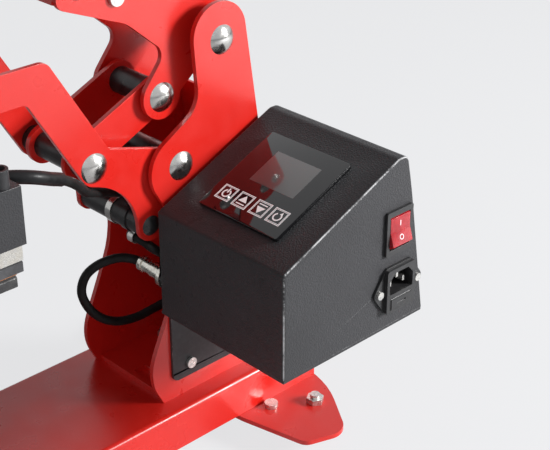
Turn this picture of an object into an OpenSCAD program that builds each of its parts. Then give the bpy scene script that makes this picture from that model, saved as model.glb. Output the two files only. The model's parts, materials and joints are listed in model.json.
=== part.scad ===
// Cap heat press: a clamshell press with a toggle linkage, a curved heating platen and a control box.
// The table is Z = 0 and the user stands on the -Y side. In the modules X = 0 is the middle plane of the frame.

/* [Base] */
// Half of the width of the base channel
base_half_w = 60.5; // [54:0.5:72]
// Front end of the base channel
base_front_y = -252; // [-300:1:-240]
// Rear end of the base channel
base_back_y = 148; // [140:1:170]
// Height of the base channel's top face over the table
base_top = 53; // [45:0.5:64]
// Sheet thickness of the base channel
base_wall = 3; // [2:0.5:4]
// Height of the rubber feet under the foot plates
foot_h = 15; // [10:1:20]
// Thickness of the two foot plates
foot_plate_t = 4; // [3:0.5:5]
// Half of the span of a foot plate, tip to middle
foot_plate_half_w = 130; // [115:1:150]
// Distance of a rubber foot from the middle plane
foot_x = 89; // [80:1:100]

/* [Frame] */
// Half of the clear width between the two uprights
frame_half = 39.5; // [38:0.5:48]
// Thickness of the uprights
upright_t = 4; // [3:0.5:5]
// Radius of the top lobe of an upright
upright_lobe_r = 25; // [20:0.5:27]
// Height of the rear cross web's top edge over the table
web_top = 272; // [220:1:280]
// Thickness of the rear cross web
web_t = 3; // [2:0.5:4]

/* [Linkage] */
// Handle lever's pivot on the uprights, front to back
lever_pivot_y = 67.2; // [60:0.1:72]
// Handle lever's pivot on the uprights, height
lever_pivot_z = 330.1; // [322:0.1:338]
// Platen arm's pivot on the uprights, front to back
arm_pivot_y = 26; // [22:0.1:32]
// Platen arm's pivot on the uprights, height
arm_pivot_z = 245.7; // [240:0.1:250]
// Toggle pivot that joins lever and link, front to back
toggle_y = 22.8; // [18:0.1:28]
// Toggle pivot that joins lever and link, height
toggle_z = 294.9; // [290:0.1:300]
// Pivot that joins link and arm, front to back
link_pivot_y = -45; // [-48:0.1:-42]
// Pivot that joins link and arm, height
link_pivot_z = 264.6; // [262:0.1:267]
// Radius of the pivot pins
pin_r = 6; // [4:0.5:7]
// Radius of the domed pin heads
dome_r = 11; // [9:0.5:12]
// Height of the domed pin heads
dome_h = 4.2; // [3:0.1:4.2]
// Radius of the black spacer sleeves
sleeve_r = 10; // [8.5:0.5:11]
// Radial running clearance of a pin in its bore
run_gap = 0.06; // [0.02:0.01:0.1]
// Sideways clearance between pieces that turn against each other
side_gap = 0.3; // [0.2:0.05:0.5]

/* [Arm] */
// Outer face of the arm plates from the middle plane
arm_out = 37.5; // [36.5:0.1:38]
// Thickness of arm, lever and link plates
plate_t = 4; // [3:0.5:4.5]
// Top edge of the arm's front bar over the table
bar_top = 349; // [345:0.5:354]
// Height of the arm's front bar
bar_h = 24.5; // [20:0.5:27]
// Front end of the arm
arm_front_y = -202; // [-215:1:-196]
// Cross tube under the arm, front to back
tube_y = 1; // [-1:0.5:3]
// Cross tube under the arm, height
tube_z = 204.5; // [202:0.5:207]

/* [Lever and handle] */
// Outer face of the lever plates from the middle plane
lever_out = 29; // [28.5:0.1:29.2]
// Rise of the handle over the horizontal, in degrees
handle_rise = 22; // [15:1:26]
// Radius of the handle tube
handle_r = 12.5; // [10:0.5:14]
// Length of the handle tube
handle_len = 250; // [200:5:300]
// Radius of the handle grip
grip_r = 16; // [15:0.5:19]
// Length of the handle grip
grip_len = 112; // [90:1:130]

/* [Link] */
// Outer face of the link plates from the middle plane
link_out = 22.7; // [22:0.1:23]
// Half of the width of a link plate
link_half_w = 14.3; // [12.5:0.1:15]

/* [Platen] */
// Middle of the platen, front to back
platen_y = -174; // [-178:0.5:-170]
// Radius of the platen's curved working face
platen_curve_r = 114; // [108:0.5:120]
// Height of the axis of the curved working face
curve_z = 138; // [134:0.5:142]
// Half of the width of the platen cover
cover_half_w = 80; // [78:0.5:90]
// Depth of the platen cover, front to back
cover_d = 88.6; // [84:0.2:100]
// Bottom edge of the platen cover over the table
cover_z0 = 255.2; // [252:0.1:258]
// Height of the platen cover
cover_h = 40; // [38:0.5:46]
// Sheet thickness of the platen cover
cover_t = 1.5; // [1:0.1:2.5]
// Travel of the platen by the pressure screw
screw_travel = 8; // [4:0.5:8]
// Radius of the pressure screw
screw_r = 7; // [5:0.5:8]
// Radius of the pressure knob
knob_r = 26; // [20:1:32]
// Gap between the closed platen and the cradle pad
press_gap = 0.5; // [0.3:0.1:2]
// Thickness of the silicone pad on the cradle
pad_t = 8; // [5:0.5:10]
// Thickness of the curved cradle plate
cradle_t = 4; // [3:0.5:5]
// Half of the width of the cradle
cradle_half_w = 60; // [50:1:66]

/* [Control box] */
// Left face of the box from the middle plane
box_x0 = 46; // [45:0.5:52]
// Width of the box
box_w = 129; // [124:1:150]
// Depth of the box at its bottom
box_d = 142; // [138:1:165]
// Bottom of the box over the table
box_z0 = 135; // [128:1:142]
// Height of the box at its front edge
box_front_h = 84.4; // [80:0.2:95]
// Height of the box at its top
box_top_h = 132.8; // [130:0.2:150]
// Sheet thickness of the box
box_t = 1.5; // [1:0.1:2.5]
// Width of the glass panel
glass_w = 78; // [74:0.5:84]
// Length of the glass panel up the slope
glass_l = 79; // [76:0.5:84]
// Thickness of the glass panel
glass_t = 3; // [2:0.5:4]
// Middle of the rocker switch over the bottom of the box
switch_rise = 78.2; // [74:0.2:82]
// Middle of the power inlet over the bottom of the box
inlet_rise = 33; // [28:0.5:36]
// Radius of the heater cable
cable_r = 3.5; // [3:0.1:4]

/* [Hidden] */
$fn = 64;

// The five pivots in the side view, as [y, z]
P1 = [lever_pivot_y, lever_pivot_z];
P2 = [arm_pivot_y, arm_pivot_z];
P3 = [toggle_y, toggle_z];
P4 = [link_pivot_y, link_pivot_z];
P5 = [tube_y, tube_z];
bore_r = pin_r + run_gap;
frame_out = frame_half + upright_t;
arm_in = arm_out - plate_t;
lever_in = lever_out - plate_t;
link_in = link_out - plate_t;

// Base
plate_top = foot_h + foot_plate_t;
foot_back = base_back_y + 2;
foot_front = base_front_y - 3;
stud_y = foot_back - 30;
tie_y = foot_back - 60;
tie_x = base_half_w + 8.5;
stud_r = 4;
lip_w = 14;
bend_r = 4;
floor_t = 4;
floor_z = base_top + floor_t;
floor_bolt_x = 25;
floor_bolt_r = 4;

// Handle
handle_at = [toggle_y - 7.8, toggle_z + 69.3];
handle_dir = [-cos(handle_rise), sin(handle_rise)];
handle_up = [sin(handle_rise), cos(handle_rise)];
socket_in = 14;
socket_out = 76;
socket_h = 28;
tube_start = 20;
handle_bolt_r = 3;
grip_end = handle_len + 4;

// Platen, counted from the working face outwards
plate_r1 = platen_curve_r + 5.2;
plate_r2 = plate_r1 + 5;
plate_r3 = plate_r2 + 5.2;
cover_z1 = cover_z0 + cover_h;
wool_half_w = cover_half_w - 2;
wool_half_d = cover_d / 2 - 2.3;
wool_z0 = cover_z0 - 11.2;
corner_x = cover_half_w - 7;
corner_y = cover_d / 2 - 10.3;
corner_bolt_r = 2;
hanger_t = 4;
hanger_top = cover_z1 + hanger_t;
hanger_x = 38;
hanger_y = 17;
hanger_bolt_r = 2.5;
boss_top = bar_top - bar_h - 1.3 - screw_travel;
guide_x = 20;
guide_r = 4;
bar_mid = bar_top - bar_h / 2;
block_bolt_y = 10;
block_bolt_r = 4;
knob_z = bar_top + 23;
pad_r = platen_curve_r - press_gap;
plate_out_r = pad_r - pad_t;
plate_in_r = plate_out_r - cradle_t;
cradle_d = 70;
cradle_y = platen_y + 0.5;
post_w = 50;
post_d = 40;
post_wall = 3;

// Control box
box_x1 = box_x0 + box_w;
side_z0 = 2.4;
slope_run = box_d - 31.7;
ridge_y = box_d - 22.1;
slope_a = atan2(box_top_h - box_front_h, slope_run);
glass_x = box_x0 + box_w / 2 - 0.25;
glass_s = 20;
lcd_x = glass_x + 1.6;
lcd_w = 43;
lcd_s = glass_s + 34.3;
lcd_l = 31;
board_z = -12;
switch_y = box_d - 31;
switch_z = box_z0 + switch_rise;
inlet_y = box_d - 29.65;
inlet_z = box_z0 + inlet_rise;
rocker_tilt = 9;
rocker_back = 5;
cord_y = 7;
cord_z = box_z0 + 28;
shrink_r = cable_r + 1.2;
gland_x = 45.5;
clip_x = 17;
clip_at = [tube_y, tube_z - 16.5];
gland_z = cover_z1 - 8.2;
bracket_t = box_x0 - frame_out;
// Middle of the press's outline, seen from above
middle_x = (box_x1 + 6 - foot_plate_half_w) / 2;
middle_y = (foot_back + foot_front) / 2;

// Room between curved or sloping faces that lie against each other
seat_gap = 0.02;

function unit(v) = v / norm(v);
function h_at(s, n) = handle_at + s * handle_dir + n * handle_up;
function corner(a, b, c, r) =
    let(u = unit(a - b), w = unit(c - b), half = acos(u * w) / 2)
    let(m = b + unit(u + w) * r / sin(half), p = b + u * r / tan(half))
    let(start = atan2(p.y - m.y, p.x - m.x), turn = 180 - 2 * half)
    let(s = u.x * w.y - u.y * w.x < 0 ? 1 : -1, n = max(2, ceil(turn / 6)))
    [for (i = [0:n]) m + r * [cos(start + s * turn * i / n), sin(start + s * turn * i / n)]];
function flat(p) = [p.x, p.y];
function rounded(pts) =
    let(n = len(pts))
    [for (i = [0:n - 1])
        each (pts[i].z == 0 ? [flat(pts[i])]
            : corner(flat(pts[(i + n - 1) % n]), flat(pts[i]), flat(pts[(i + 1) % n]), pts[i].z))];
function at(p, dy, dz, r = 0) = [p.x + dy, p.y + dz, r];
function inset(a, b, c, t) =
    let(u = unit(a - b), w = unit(c - b), half = acos(u * w) / 2)
    b + unit(u + w) * t / sin(half);

module both() {
    children();
    mirror([1, 0, 0]) children();
}

module plate_x(x0, t) {
    translate([x0, 0, 0]) rotate([90, 0, 90]) linear_extrude(t) children();
}

module rod_x(p, x0, x1, r) {
    translate([x0, p.x, p.y]) rotate([0, 90, 0]) cylinder(h = x1 - x0, r = r);
}

module rod_z(x, y, z0, z1, r) {
    translate([x, y, z0]) cylinder(h = z1 - z0, r = r);
}

module hex_z(x, y, z0, z1, r) {
    translate([x, y, z0]) cylinder(h = z1 - z0, r = r, $fn = 6);
}

module sleeve_x(p, x0, x1, r) {
    difference() {
        rod_x(p, x0, x1, r);
        rod_x(p, x0 - 1, x1 + 1, bore_r);
    }
}

module dome(p, x, r = dome_r, h = dome_h) {
    ball = (r * r + h * h) / (2 * h);
    half = asin(r / ball);
    base = h - ball;
    arc = [for (i = [0:7]) let(a = half * (1 - i / 8)) [ball * sin(a), ball * cos(a) + base]];
    translate([x, p.x, p.y]) rotate([0, 90, 0]) rotate_extrude()
        polygon(concat([[0, 0]], arc, [[0, h]]));
}

module block(x0, x1, y0, y1, z0, z1) {
    translate([x0, y0, z0]) cube([x1 - x0, y1 - y0, z1 - z0]);
}

module on_slope() {
    translate([0, 0, box_z0 + box_front_h]) rotate([slope_a, 0, 0]) children();
}

module on_side(y, z) {
    translate([box_x1, y, z]) rotate([90, 0, 90]) children();
}

module slab(w, h, z0, z1) {
    translate([-w / 2, -h / 2, z0]) cube([w, h, z1 - z0]);
}

module soft_slab(w, h, r, z0, z1) {
    c = [[-w / 2, -h / 2, r], [w / 2, -h / 2, r], [w / 2, h / 2, r], [-w / 2, h / 2, r]];
    translate([0, 0, z0]) linear_extrude(z1 - z0) polygon(rounded(c));
}

module arch(r0, r1, half_w, y0, y1) {
    translate([0, y1, curve_z]) rotate([90, 0, 0]) linear_extrude(y1 - y0)
        intersection() {
            difference() {
                circle(r = r1, $fn = 128);
                circle(r = r0, $fn = 128);
            }
            translate([-half_w, 0]) square([2 * half_w, r1 + 1]);
        }
}

module foot_outline() {
    hw = foot_plate_half_w;
    tip_y = foot_back - 0.66 * (hw - 69);
    polygon(rounded([[-73, foot_back, 100], [73, foot_back, 100], [hw + 4, tip_y, 16],
        [hw - 8, foot_back - 74, 10], [60, foot_back - 88, 60], [-60, foot_back - 88, 60],
        [8 - hw, foot_back - 74, 10], [-hw - 4, tip_y, 16]]));
}

// Places children at the rear and, turned end for end, at the front
module ends() {
    children();
    translate([0, foot_back + foot_front, 0]) mirror([0, 1, 0]) children();
}

module base_channel() {
    w = base_half_w;
    i = base_half_w - base_wall;
    color("#c8141c") difference() {
        translate([0, base_back_y, 0]) rotate([90, 0, 0]) linear_extrude(base_back_y - base_front_y)
            difference() {
                polygon(rounded([[-w, plate_top, 0], [w, plate_top, 0], [w, base_top, bend_r],
                    [-w, base_top, bend_r]]));
                polygon([[-i, plate_top + base_wall], [i, plate_top + base_wall],
                    [i, base_top - base_wall], [-i, base_top - base_wall]]);
                polygon([[lip_w - i, plate_top - 1], [i - lip_w, plate_top - 1],
                    [i - lip_w, plate_top + base_wall + 1], [lip_w - i, plate_top + base_wall + 1]]);
            }
        both() {
            for (y = [60, 110]) rod_z(floor_bolt_x, y, base_top - 9, base_top + 1, floor_bolt_r + run_gap);
            for (y = [-24, 24]) rod_z(33, platen_y + y, base_top - 9, base_top + 1, 3 + run_gap);
        }
    }
}

module foot_plates() {
    color("#c8141c") ends() difference() {
        translate([0, 0, foot_h]) linear_extrude(foot_plate_t) foot_outline();
        both() {
            rod_z(foot_x, stud_y, foot_h - 1, plate_top + 1, stud_r + run_gap);
            rod_z(tie_x, tie_y, foot_h - 1, plate_top + 1, 3 + run_gap);
        }
    }
}

module rubber_feet() {
    color("#262626") ends() both() difference() {
        union() {
            translate([foot_x, stud_y, 0]) cylinder(h = 3, r1 = 13, r2 = 15);
            rod_z(foot_x, stud_y, 3, foot_h - 2, 15);
            translate([foot_x, stud_y, foot_h - 2]) cylinder(h = 2, r1 = 15, r2 = 13);
        }
        rod_z(foot_x, stud_y, 6, foot_h + 1, stud_r);
    }
}

module foot_studs() {
    color("#b9bcc0") ends() both() {
        rod_z(foot_x, stud_y, 6, plate_top + 8, stud_r);
        difference() {
            hex_z(foot_x, stud_y, plate_top, plate_top + 5, 7.4);
            rod_z(foot_x, stud_y, plate_top - 1, plate_top + 6, stud_r);
        }
        rod_z(tie_x, tie_y, foot_h - 4, plate_top + 1, 3);
        rod_z(tie_x, tie_y, plate_top, plate_top + 4, 5.5);
        difference() {
            hex_z(tie_x, tie_y, foot_h - 4, foot_h, 5.5);
            rod_z(tie_x, tie_y, foot_h - 5, foot_h + 1, 3);
        }
    }
}

module upright_outline() {
    polygon(rounded([[0.3, base_top, 0], [-13, base_top + 27, 40], at(P2, 5.5, -65.4, 85),
        at(P2, -36.5, 8.1, 26), at(P1, -22.4, -44.6, 22), at(P1, -28.2, 27.9, upright_lobe_r - 1),
        at(P1, 19.3, 27.9, upright_lobe_r - 1), [132.8, base_top, 0]]));
}

module upright(holes) {
    color("#c8141c") difference() {
        plate_x(frame_half, upright_t) upright_outline();
        rod_x(P1, frame_half - 1, frame_out + 1, bore_r);
        rod_x(P2, frame_half - 1, frame_out + 1, bore_r);
        if (holes)
            for (p = bracket_at) rod_x(p, frame_half - 1, frame_out + 1, 2.5 + run_gap);
    }
}

bracket_at = [[26, base_top + 27.5], [95, base_top + 27.5], [75, box_z0 + 55], [85, box_z0 + 15]];

module right_upright() {
    upright(true);
}

module left_upright() {
    mirror([1, 0, 0]) upright(false);
}

// The web follows the sloping rear edge of the uprights
module rear_web() {
    run = (132.8 - (P1.x + 19.3)) / (P1.y + 27.9 - base_top);
    low = 132.8 - run * floor_t - 2.5;
    high = 132.8 - run * (web_top - base_top) - 2.5;
    color("#c8141c") plate_x(-frame_half, 2 * frame_half)
        polygon([[low, floor_z], [high, web_top], [high - web_t, web_top], [low - web_t, floor_z]]);
}

module frame_floor() {
    color("#c8141c") difference() {
        block(-frame_half, frame_half, 3, 132.8 - 5.9, base_top, floor_z);
        block(-3, 30, 8.5, 19.5, base_top - 1, floor_z + 1);
        both() for (y = [60, 110]) rod_z(floor_bolt_x, y, base_top - 1, floor_z + 1, floor_bolt_r + run_gap);
    }
}

// Bolts that hold the floor plate and the cradle post to the base, and the cradle's two clamp screws
module base_bolts() {
    color("#8f9296") {
        both() for (y = [60, 110]) {
            rod_z(floor_bolt_x, y, base_top - 10, floor_z + 1, floor_bolt_r);
            hex_z(floor_bolt_x, y, floor_z, floor_z + 5, 7.5);
            difference() {
                hex_z(floor_bolt_x, y, base_top - base_wall - 6, base_top - base_wall, 7.5);
                rod_z(floor_bolt_x, y, base_top - 12, base_top, floor_bolt_r);
            }
        }
        both() for (y = [-24, 24]) {
            rod_z(33, platen_y + y, base_top - 9, base_top + 5, 3);
            hex_z(33, platen_y + y, base_top + 4, base_top + 8, 5.6);
            difference() {
                hex_z(33, platen_y + y, base_top - base_wall - 5, base_top - base_wall, 5.6);
                rod_z(33, platen_y + y, base_top - 10, base_top, 3);
            }
        }
        for (z = [0, 18]) translate([0, cradle_y - post_d / 2, curve_z + 52 + z]) {
            rotate([-90, 0, 0]) cylinder(h = 8, r = 3);
            rotate([90, 0, 0]) cylinder(h = 3.5, r = 5.5);
        }
    }
}

module lever_pivot_bolt() {
    color("#d8dadd") {
        rod_x(P1, -frame_out - 0.5, frame_out + 0.5, pin_r);
        both() dome(P1, frame_out);
    }
}

module arm_pivot_bolt() {
    color("#d8dadd") {
        rod_x(P2, -frame_out - 0.5, frame_out + 0.5, pin_r);
        both() dome(P2, frame_out);
    }
}

module pivot_spacers() {
    color("#202022") both() {
        sleeve_x(P1, lever_out + side_gap, frame_half, sleeve_r);
        sleeve_x(P2, arm_out + side_gap, frame_half, sleeve_r);
    }
}

module cradle_post() {
    color("#1c1c1e") difference() {
        union() {
            block(-42, 42, platen_y - 32, platen_y + 32, base_top, base_top + 4);
            block(-post_w / 2, post_w / 2, cradle_y - post_d / 2, cradle_y + post_d / 2,
                base_top + 3, curve_z + plate_in_r);
        }
        translate([0, 0, -1]) block(post_wall - post_w / 2, post_w / 2 - post_wall,
            cradle_y - post_d / 2 + post_wall, cradle_y + post_d / 2 - post_wall,
            base_top, curve_z + plate_in_r + 2);
        difference() {
            block(-post_w, post_w, cradle_y - post_d, cradle_y + post_d, curve_z + 60, curve_z + 140);
            translate([0, cradle_y + post_d, curve_z]) rotate([90, 0, 0])
                cylinder(h = 2 * post_d, r = plate_in_r - seat_gap, $fn = 128);
        }
        both() for (y = [-24, 24]) rod_z(33, platen_y + y, base_top - 1, base_top + 5, 3 + run_gap);
        for (z = [0, 18]) translate([0, cradle_y - post_d / 2 - 1, curve_z + 52 + z])
            rotate([-90, 0, 0]) cylinder(h = post_wall + 2, r = 3 + run_gap);
    }
}

// The curved plate has a square tongue below that slides into the post
module cradle_plate() {
    w = post_w / 2 - post_wall - 0.2;
    d = post_d / 2 - post_wall - 0.2;
    color("#3a3a3c") {
        arch(plate_in_r, plate_out_r, cradle_half_w, cradle_y - cradle_d / 2, cradle_y + cradle_d / 2);
        difference() {
            block(-w, w, cradle_y - d, cradle_y + d, curve_z + 40, curve_z + plate_in_r + 1.5);
            block(3 - w, w - 3, cradle_y - d + 3, cradle_y + d - 3, curve_z + 39, curve_z + plate_in_r - 4);
            difference() {
                block(-w - 1, w + 1, cradle_y - d - 1, cradle_y + d + 1, curve_z + 60, curve_z + 140);
                translate([0, cradle_y + d + 2, curve_z]) rotate([90, 0, 0])
                    cylinder(h = 2 * d + 4, r = plate_in_r + 1.5, $fn = 128);
            }
            for (z = [0, 18]) translate([0, cradle_y - d - 1, curve_z + 52 + z])
                rotate([-90, 0, 0]) cylinder(h = 5, r = 3 + run_gap);
        }
    }
}

module cradle_pad() {
    color("#d9582b")
        arch(plate_out_r, pad_r, cradle_half_w, cradle_y - cradle_d / 2, cradle_y + cradle_d / 2);
}

module arm_outline() {
    notch_r = min(47.5, 1.38 * (arm_pivot_z - tube_z - 6.8));
    polygon(rounded([[arm_front_y, bar_top, 0.4 * bar_h], [-76, bar_top, 9], at(P4, 13, 10.4, 7),
        at(P2, 26, 4.3, 16), at(P2, 18, -23.7, 16), at(P5, 8, -12, 10), at(P5, -11, -12, 11),
        [P5.x - 11, P2.y - 7.3, notch_r], at(P4, -7, -11.8, 12.5), [-93.7, bar_top - bar_h, 6],
        [arm_front_y, bar_top - bar_h, 0.4 * bar_h]]));
}

module arm() {
    color("#c8141c") difference() {
        plate_x(arm_in, plate_t) arm_outline();
        for (p = [P2, P4, P5]) rod_x(p, arm_in - 1, arm_out + 1, bore_r);
        for (y = [-1, 1]) rod_x([platen_y + y * block_bolt_y, bar_mid], arm_in - 1, arm_out + 1,
            block_bolt_r + run_gap);
    }
}

module right_arm() {
    arm();
}

module left_arm() {
    mirror([1, 0, 0]) arm();
}

module arm_sleeves() {
    color("#202022") {
        sleeve_x(P2, -arm_in, arm_in, sleeve_r);
        both() sleeve_x(P4, link_out + 0.4, arm_in, sleeve_r);
    }
}

module cross_sleeves() {
    color("#202022") both() sleeve_x(P5, 3, arm_in, sleeve_r);
}

module cross_collar() {
    color("#d8dadd") sleeve_x(P5, -3, 3, sleeve_r + 1);
}

// The link pivot's studs end at the links, whose own pin lies on the same line
module arm_pins() {
    color("#d8dadd") {
        rod_x(P5, -arm_out - 0.5, arm_out + 0.5, pin_r);
        both() {
            dome(P5, arm_out, pin_r + 1.8, 3.4);
            dome(P4, arm_out);
            rod_x(P4, link_out + 0.6, arm_out + 0.5, pin_r);
        }
    }
}

module screw_block() {
    color("#202022") difference() {
        block(-arm_in, arm_in, platen_y - 18, platen_y + 18, bar_top - bar_h + 1.5, bar_top - 1);
        rod_z(0, platen_y, bar_top - bar_h, bar_top, screw_r + run_gap);
        both() {
            rod_z(guide_x, platen_y, bar_top - bar_h, bar_top, guide_r + run_gap);
            for (y = [-1, 1]) rod_x([platen_y + y * block_bolt_y, bar_mid], arm_in - 14, arm_in + 1,
                block_bolt_r);
        }
    }
}

module block_bolts() {
    color("#8f9296") both() for (y = [-1, 1]) {
        rod_x([platen_y + y * block_bolt_y, bar_mid], arm_in - 14, arm_out + 1, block_bolt_r);
        rod_x([platen_y + y * block_bolt_y, bar_mid], arm_out, arm_out + 3, 6);
    }
}

// One strap round the tube and a smaller loop round the cable
module cable_clip() {
    color("#b9bcc0") difference() {
        union() {
            rod_x(P5, clip_x - 3, clip_x + 3, sleeve_r + 1);
            rod_x(clip_at, clip_x - 3, clip_x + 3, cable_r + 1.4);
            block(clip_x - 3, clip_x + 3, clip_at.x - 2, clip_at.x + 2, clip_at.y, P5.y);
        }
        rod_x(P5, clip_x - 4, clip_x + 4, sleeve_r + seat_gap);
        rod_x(clip_at, clip_x - 4, clip_x + 4, cable_r + 0.5);
    }
}

module lever_outline() {
    toe = [for (a = [354:-6:142]) [P3.x + 16.5 * cos(a), P3.y + 16.5 * sin(a), 0]];
    polygon(rounded(concat(toe, [at(P3, 4.9, 32.1, 10),
        [h_at(15.1, -16).x, h_at(15.1, -16).y, 25], [h_at(76.6, -16).x, h_at(76.6, -16).y, 8],
        [h_at(76.6, 16).x, h_at(76.6, 16).y, 8], [h_at(-8.5, 16).x, h_at(-8.5, 16).y, 40],
        at(P1, 20.1, 19, 18), at(P1, 15.8, -17.5, 15), at(P1, -7.7, -19.3, 6), at(P3, 17, 0.4, 0)])));
}

module lever() {
    color("#c8141c") difference() {
        plate_x(lever_in, plate_t) lever_outline();
        for (p = [P1, P3]) rod_x(p, lever_in - 1, lever_out + 1, bore_r);
        for (s = [30, 60]) rod_x(h_at(s, 0), lever_in - 1, lever_out + 1, handle_bolt_r + run_gap);
    }
}

module right_lever() {
    lever();
}

module left_lever() {
    mirror([1, 0, 0]) lever();
}

module lever_spacers() {
    color("#202022") {
        sleeve_x(P1, -lever_in, lever_in, sleeve_r);
        both() sleeve_x(P3, link_out + side_gap, lever_in, sleeve_r);
    }
}

module toggle_pin() {
    color("#d8dadd") {
        rod_x(P3, -lever_out - 0.5, lever_out + 0.5, pin_r);
        both() dome(P3, lever_out);
    }
}

// Children lie in a frame whose Z axis is the handle's
module on_handle() {
    translate([0, handle_at.x, handle_at.y]) rotate([90 - handle_rise, 0, 0]) children();
}

module handle_socket() {
    color("#202022") on_handle() difference() {
        translate([-lever_in, -socket_h / 2, socket_in])
            cube([2 * lever_in, socket_h, socket_out - socket_in]);
        translate([0, 0, tube_start]) cylinder(h = socket_out, r = handle_r + 0.02);
        for (s = [30, 60]) translate([-lever_in - 1, 0, s]) rotate([0, 90, 0])
            cylinder(h = 2 * lever_in + 2, r = handle_bolt_r);
    }
}

module handle_bolts() {
    color("#8f9296") both() for (s = [30, 60]) {
        rod_x(h_at(s, 0), handle_r + 3, lever_out + 1, handle_bolt_r);
        rod_x(h_at(s, 0), lever_out, lever_out + 2.8, 6);
    }
}

module handle_tube() {
    color("#c9ccd0") on_handle() difference() {
        translate([0, 0, tube_start]) cylinder(h = handle_len - tube_start, r = handle_r);
        translate([0, 0, tube_start - 1]) cylinder(h = handle_len, r = handle_r - 2);
    }
}

module handle_grip() {
    color("#1b1b1c") on_handle() difference() {
        union() {
            translate([0, 0, grip_end - grip_len]) cylinder(h = grip_len - 6, r = grip_r);
            translate([0, 0, grip_end - 6]) cylinder(h = 6, r1 = grip_r, r2 = grip_r - 5);
            translate([0, 0, grip_end - grip_len]) cylinder(h = 5, r = grip_r + 3);
        }
        translate([0, 0, grip_end - grip_len - 1]) cylinder(h = grip_len + 1 - 4, r = handle_r + 0.02);
    }
}

module link_outline() {
    way = unit(P4 - P3) * link_half_w;
    side = [-way.y, way.x];
    r = link_half_w - 0.05;
    corners = [P3 - way + side, P4 + way + side, P4 + way - side, P3 - way - side];
    polygon(rounded([for (c = corners) [c.x, c.y, r]]));
}

module link() {
    color("#c8141c") difference() {
        plate_x(link_in, plate_t) link_outline();
        for (p = [P3, P4]) rod_x(p, link_in - 1, link_out + 1, bore_r);
    }
}

module right_link() {
    link();
}

module left_link() {
    mirror([1, 0, 0]) link();
}

module link_sleeves() {
    color("#202022") {
        sleeve_x(P3, -link_in, link_in, sleeve_r);
        sleeve_x(P4, -link_in, link_in, sleeve_r);
    }
}

module link_pin() {
    color("#8f9296") rod_x(P4, -link_out - 0.2, link_out + 0.2, pin_r);
}

module pressure_screw() {
    color("#b9bcc0") {
        rod_z(0, platen_y, cover_z1 + screw_travel + 0.8, bar_top + 39, screw_r);
        rod_z(0, platen_y, bar_top - 0.7, bar_top + 4, 11);
        rod_z(0, platen_y, bar_top - bar_h - 0.1, bar_top - bar_h + 1.2, 9);
    }
}

module pressure_knob() {
    color("#1b1b1c") difference() {
        union() {
            rod_z(0, platen_y, knob_z - 6, knob_z + 1, 12);
            difference() {
                rod_z(0, platen_y, knob_z, knob_z + 24, knob_r);
                for (a = [0:45:315]) rod_z((knob_r + 3.5) * cos(a), platen_y + (knob_r + 3.5) * sin(a),
                    knob_z - 1, knob_z + 25, 7);
            }
        }
        rod_z(0, platen_y, knob_z - 7, bar_top + 39, screw_r);
    }
}

module platen_hanger() {
    color("#202022") difference() {
        union() {
            block(-45, 45, platen_y - 24, platen_y + 24, cover_z1, hanger_top);
            rod_z(0, platen_y, hanger_top - 1, boss_top, 14);
            both() rod_z(guide_x, platen_y, hanger_top - 1, bar_top + 7, guide_r);
        }
        rod_z(0, platen_y, cover_z1 - 1, boss_top + 1, screw_r + run_gap);
        both() for (y = [-1, 1]) rod_z(hanger_x, platen_y + y * hanger_y, cover_z1 - 1, hanger_top + 1,
            hanger_bolt_r + run_gap);
    }
}

module platen_cover() {
    d = cover_d / 2;
    color("#232325") difference() {
        block(-cover_half_w, cover_half_w, platen_y - d, platen_y + d, cover_z0, cover_z1);
        block(cover_t - cover_half_w, cover_half_w - cover_t, platen_y - d + cover_t, platen_y + d - cover_t,
            cover_z0 - 1, cover_z1 - cover_t);
        translate([gland_x, platen_y + d - 3, gland_z]) rotate([-90, 0, 0]) cylinder(h = 6, r = shrink_r);
        both() for (y = [-1, 1]) {
            rod_z(hanger_x, platen_y + y * hanger_y, cover_z1 - 3, cover_z1 + 1, hanger_bolt_r + run_gap);
            rod_z(corner_x, platen_y + y * corner_y, cover_z1 - 3, cover_z1 + 1, corner_bolt_r + run_gap);
        }
    }
}

module insulation() {
    top = cover_z1 - cover_t;
    color("#ece8df") difference() {
        block(-wool_half_w, wool_half_w, platen_y - wool_half_d, platen_y + wool_half_d, wool_z0, top);
        translate([0, platen_y + 60, curve_z]) rotate([90, 0, 0]) cylinder(h = 120, r = plate_r3 + seat_gap,
            $fn = 128);
        rod_z(0, platen_y, curve_z + plate_r3 - 5, curve_z + plate_r3 + 9, 8.5);
        translate([gland_x, platen_y + wool_half_d - 8, gland_z]) rotate([-90, 0, 0]) cylinder(h = 9, r = 6);
        both() for (y = [-1, 1]) {
            rod_z(hanger_x, platen_y + y * hanger_y, top - 4, top + 1, 5.4);
            rod_z(corner_x, platen_y + y * corner_y, wool_z0 - 1, top + 1, corner_bolt_r + 0.3);
        }
    }
}

module clamp_plate() {
    color("#c9ccd0") difference() {
        arch(plate_r2, plate_r3, cover_half_w - 3, platen_y - wool_half_d, platen_y + wool_half_d);
        both() for (y = [-1, 1])
            rod_z(corner_x, platen_y + y * corner_y, curve_z + 98, cover_z1, corner_bolt_r);
    }
}

module heating_element() {
    color("#b8763a") arch(plate_r1 + seat_gap, plate_r2 - seat_gap, cover_half_w - 7,
        platen_y - wool_half_d + 2.5, platen_y + wool_half_d - 2.5);
}

module heat_platen() {
    color("#3f4042") arch(platen_curve_r, plate_r1, cover_half_w - 5.5, platen_y - wool_half_d + 3.4,
        platen_y + wool_half_d - 3.4);
}

module collars() {
    color("#1b1b1c") both() for (y = [-1, 1]) difference() {
        rod_z(corner_x, platen_y + y * corner_y, cover_z1, cover_z1 + 12.5, 6);
        rod_z(corner_x, platen_y + y * corner_y, cover_z1 - 1, cover_z1 + 14, 4);
    }
}

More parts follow.
